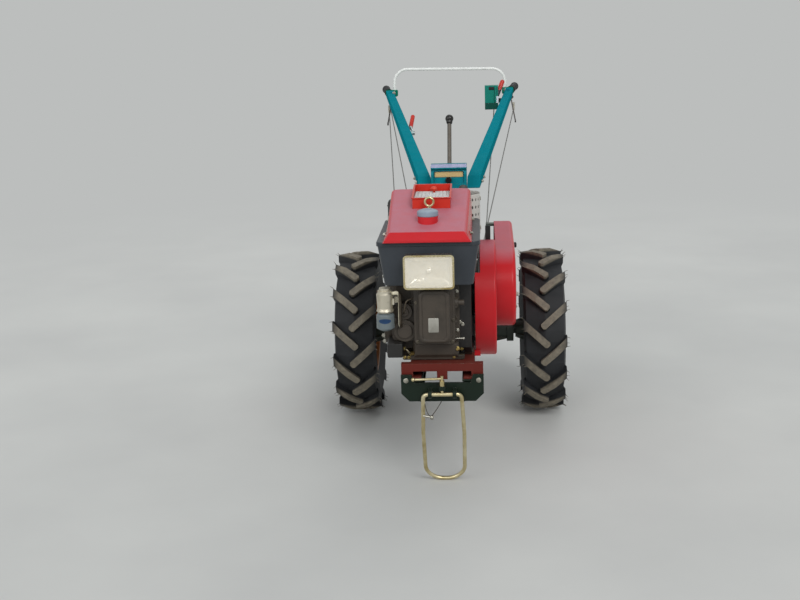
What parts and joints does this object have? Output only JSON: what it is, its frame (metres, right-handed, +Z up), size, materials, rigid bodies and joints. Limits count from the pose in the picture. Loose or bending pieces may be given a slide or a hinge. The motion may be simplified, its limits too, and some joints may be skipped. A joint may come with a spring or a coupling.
{
  "type": "walking tractor",
  "caption": "Two-wheel walking tractor with a water-cooled diesel, belt drive under guards, long handles, lugged tyres and a folding front stand.",
  "frame": {"origin": "on the ground under the middle of the whole footprint", "axes": "+Z up, -Y the way the tractor drives, +X towards its own left side, where the belts run"},
  "size_m": [0.874, 2.188, 1.2859],
  "materials": {
    "frame_green": "dark green enamel",
    "bracket_red": "red-brown enamel",
    "teal_paint": "teal enamel",
    "red_paint": "glossy red enamel",
    "orange_red_paint": "glossy orange-red enamel",
    "shroud_grey": "dark blue-grey enamel",
    "white_paint": "white enamel",
    "rim_yellow": "orange-yellow enamel",
    "black_paint": "black enamel",
    "filter_blue": "light blue-grey enamel",
    "engine_paint": "painted casting",
    "gearbox_paint": "painted casting",
    "flywheel_iron": "machined casting",
    "zinc": "gold zinc",
    "bare_steel": "bright steel",
    "grey_steel": "grey steel",
    "alloy": "cast alloy",
    "chrome_trim": "bright trim",
    "lamp_glass": "ribbed glass",
    "black_rubber": "matte",
    "hose_cream": "soft hose",
    "tyre_rubber": "matte"
  },
  "bodies": {
    "tractor": {"frame_rails": "frame_green", "front_bumper": "frame_green", "engine_bracket": "bracket_red", "gearbox": "gearbox_paint", "axle_housings": "gearbox_paint", "rear_hitch": "frame_green", "crankcase": "engine_paint", "cylinder_head": "engine_paint", "rocker_cover": "engine_paint", "flywheel": "flywheel_iron", "radiator": "shroud_grey", "fuel_tank": "red_paint", "tank_cap": "bare_steel", "filler_tray": "orange_red_paint", "lifting_ring": "zinc", "headlamp_housing": "chrome_trim", "headlamp_lens": "lamp_glass", "filter_head": "alloy", "fuel_filter": "filter_blue", "fuel_pipes": "hose_cream", "air_cleaner": "black_paint", "muffler": "black_paint", "drive_belts": "black_rubber", "clutch_pulley": "flywheel_iron", "flywheel_guard": "red_paint", "belt_guard": "red_paint", "handle_base": "teal_paint", "dash_box": "teal_paint", "handle_arms": "teal_paint", "grips": "black_rubber", "crossbar": "white_paint", "steering_levers": "grey_steel", "control_rods": "bare_steel", "throttle_lever": "red_paint", "clutch_box": "teal_paint", "clutch_lever": "red_paint", "gear_lever": "zinc", "stand_clamp": "zinc"},
    "wheel_left": {"tyre_left": "tyre_rubber", "rim_left": "rim_yellow", "hub_left": "gearbox_paint"},
    "wheel_right": {"tyre_right": "tyre_rubber", "rim_right": "rim_yellow", "hub_right": "gearbox_paint"},
    "stand": {"front_stand": "zinc"}
  },
  "joints": [
    {"name": "wheel_left_spin", "type": "hinge", "parent": "tractor", "child": "wheel_left", "pos_m": [0.357, -0.136, 0.315], "axis": [1, 0, 0], "continuous": true},
    {"name": "wheel_right_spin", "type": "hinge", "parent": "tractor", "child": "wheel_right", "pos_m": [-0.357, -0.136, 0.315], "axis": [1, 0, 0], "continuous": true},
    {"name": "stand_fold", "type": "hinge", "parent": "tractor", "child": "stand", "pos_m": [-0.008, -1.081, 0.354], "axis": [-1, 0, 0], "range_deg": [0, 165]}
  ]
}
